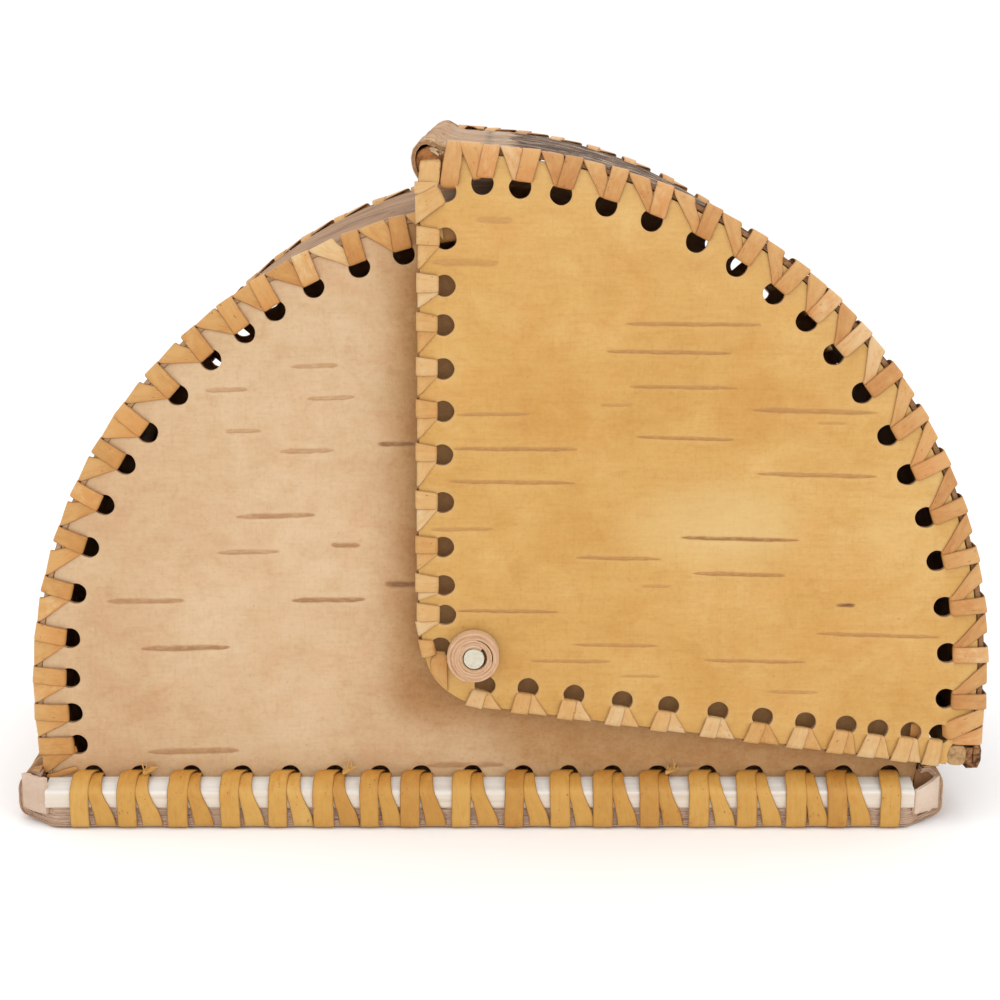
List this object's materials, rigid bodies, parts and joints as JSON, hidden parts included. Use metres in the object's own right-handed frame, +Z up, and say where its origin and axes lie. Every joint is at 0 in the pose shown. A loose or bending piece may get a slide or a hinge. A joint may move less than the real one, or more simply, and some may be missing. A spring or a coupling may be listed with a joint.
{
  "type": "birch bark box",
  "caption": "Half-round birch bark box on a laced flat base, with a quarter-round cover that swings back on side pegs over the arched half.",
  "frame": {"origin": "centre of the base's underside, on the surface it rests on", "axes": "+Z up, -Y is the front with the outer peg end, +X is the side that the closed cover fills"},
  "size_m": [0.3056, 0.1728, 0.2126],
  "materials": {
    "bark_tan": "satin inner face of birch bark",
    "bark_golden": "satin inner face of birch bark, golden",
    "bark_band": "matt birch bark",
    "bark_outer": "matt weathered outer face of birch bark with dark marks",
    "bark_floor": "matt layered birch bark",
    "bark_roll": "matt rolled bark, cut edge showing",
    "lace_ochre": "satin bark strip",
    "lace_tan": "satin bark strip",
    "lace_pale": "satin bark strip",
    "peeled_wood": "matt peeled wood",
    "stick_wood": "matt stick with bark flecks"
  },
  "bodies": {
    "shell": {"front_panel": "bark_tan", "back_panel": "bark_tan", "arch_band": "bark_band", "arch_end_stick": "stick_wood", "floor_outer_sheet": "bark_floor", "floor_middle_sheet": "bark_floor", "floor_inner_sheet": "bark_floor", "front_slat": "peeled_wood", "back_slat": "peeled_wood", "base_lacing_front": "lace_ochre", "base_lacing_back": "lace_ochre", "arch_lacing_front": "lace_tan", "arch_lacing_back": "lace_tan", "pivot_peg_front": "peeled_wood", "pivot_peg_back": "peeled_wood", "outer_roll_front": "bark_roll", "outer_roll_back": "bark_roll", "inner_roll_front": "bark_roll", "inner_roll_back": "bark_roll"},
    "cover": {"cover_front_panel": "bark_golden", "cover_back_panel": "bark_golden", "cover_arch_band": "bark_outer", "cover_top_stick": "stick_wood", "cover_bottom_stick": "stick_wood", "cover_arc_lacing_front": "lace_tan", "cover_arc_lacing_back": "lace_tan", "cover_edge_lacing_front": "lace_pale", "cover_edge_lacing_back": "lace_pale"}
  },
  "joints": [
    {"name": "cover_swing", "type": "hinge", "parent": "shell", "child": "cover", "pos_m": [-0.00185, 0, 0.0573], "axis": [0, -1, 0], "range_deg": [0, 96]}
  ]
}
